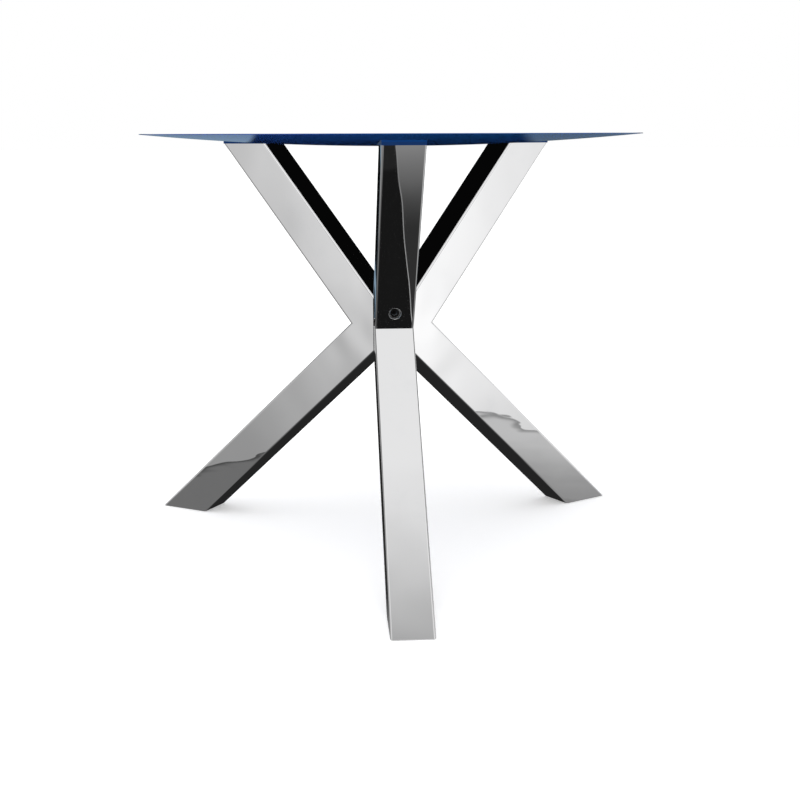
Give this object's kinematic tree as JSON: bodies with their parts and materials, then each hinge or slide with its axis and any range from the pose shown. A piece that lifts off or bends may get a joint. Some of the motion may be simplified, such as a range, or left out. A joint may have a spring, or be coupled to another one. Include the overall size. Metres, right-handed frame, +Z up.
{
  "type": "round pedestal games table",
  "caption": "Round games table with a thin lens-edged glossy top on bent legs of chromed square tube that meet at a bolted hub.",
  "frame": {"origin": "on the floor, at the middle of the whole table's footprint box; the hub axis is 34.5 mm from it towards +Y", "axes": "+Z up; the front leg points along -Y, the other two back to the right and left; +X is to the right seen from the front leg"},
  "size_m": [0.9166, 0.9529, 0.75],
  "materials": {
    "blue_lacquer": "high-gloss blue lacquer on a turned board",
    "chrome": "mirror-polished chrome plate on steel tube",
    "zinc_steel": "zinc-plated steel",
    "black_steel": "black-oxide steel",
    "brass": "turned brass",
    "blue_enamel": "blue enamel on steel, to match the lacquer",
    "black_plastic": "fine-grained moulded plastic"
  },
  "bodies": {
    "table": {"tabletop": "blue_lacquer", "hub_core": "zinc_steel", "front_upper_tube": "chrome", "front_lower_tube": "chrome", "front_hub_plate": "zinc_steel", "front_bolt_sleeve": "zinc_steel", "front_top_plate": "blue_enamel", "front_top_pad": "blue_lacquer", "front_foot_cap": "black_plastic", "right_upper_tube": "chrome", "right_lower_tube": "chrome", "right_hub_plate": "zinc_steel", "right_bolt_sleeve": "zinc_steel", "right_top_plate": "blue_enamel", "right_top_pad": "blue_lacquer", "right_foot_cap": "black_plastic", "left_upper_tube": "chrome", "left_lower_tube": "chrome", "left_hub_plate": "zinc_steel", "left_bolt_sleeve": "zinc_steel", "left_top_plate": "blue_enamel", "left_top_pad": "blue_lacquer", "left_foot_cap": "black_plastic", "hub_bolts": "black_steel", "hub_washers": "zinc_steel", "top_screws": "zinc_steel", "top_inserts": "brass", "foot_nuts": "zinc_steel"},
    "front_glide": {"front_glide_pad": "black_plastic", "front_glide_stud": "zinc_steel"},
    "right_glide": {"right_glide_pad": "black_plastic", "right_glide_stud": "zinc_steel"},
    "left_glide": {"left_glide_pad": "black_plastic", "left_glide_stud": "zinc_steel"}
  },
  "joints": [
    {"name": "front_glide_height", "type": "slide", "parent": "table", "child": "front_glide", "axis": [0, 0, -1], "range_m": [0, 0.008]},
    {"name": "right_glide_height", "type": "slide", "parent": "table", "child": "right_glide", "axis": [0, 0, -1], "range_m": [0, 0.008]},
    {"name": "left_glide_height", "type": "slide", "parent": "table", "child": "left_glide", "axis": [0, 0, -1], "range_m": [0, 0.008]}
  ]
}
